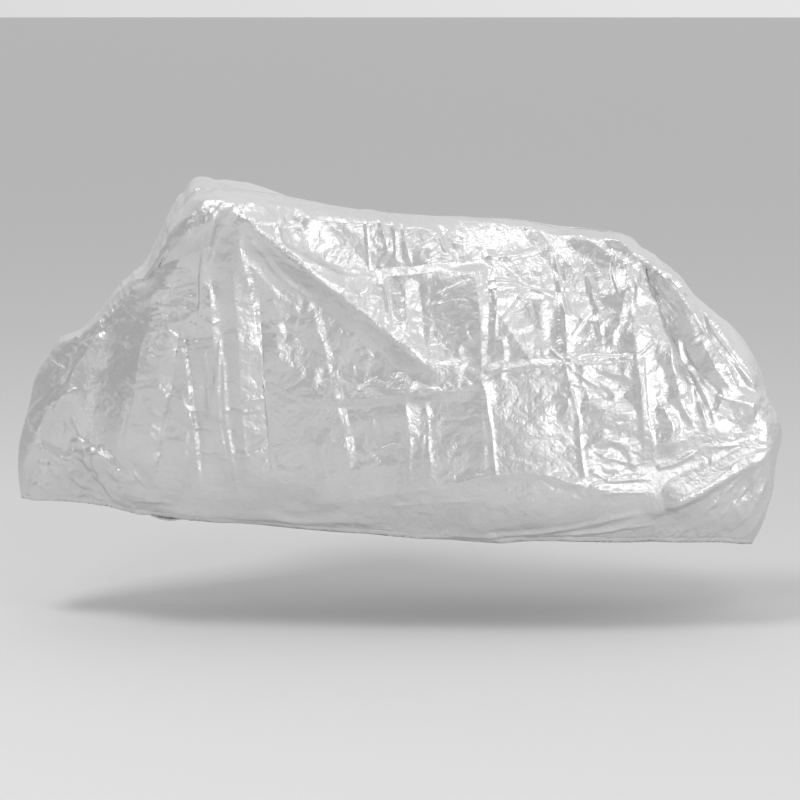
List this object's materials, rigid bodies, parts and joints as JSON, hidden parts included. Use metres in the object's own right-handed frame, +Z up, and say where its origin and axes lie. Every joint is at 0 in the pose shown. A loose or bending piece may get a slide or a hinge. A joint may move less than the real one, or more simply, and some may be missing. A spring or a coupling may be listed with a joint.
{
  "type": "bicycle cover",
  "caption": "Fitted cover of thin silver-coated cloth, draped over a bicycle that is left out: hollow, open at the hem, with diagonal swags and fans of folds from its high supports.",
  "frame": {"origin": "under the top of the cover, in its middle plane, where it rests on the saddle", "axes": "+X from the front of the cover to its back, -Y towards the side in view, +Z up"},
  "size_m": [1.8587, 0.6194, 0.869],
  "materials": {
    "silver_cloth": "thin cloth with a semi-gloss silver coating"
  },
  "bodies": {
    "root": {"near_panel": "silver_cloth", "far_panel": "silver_cloth"}
  },
  "joints": []
}
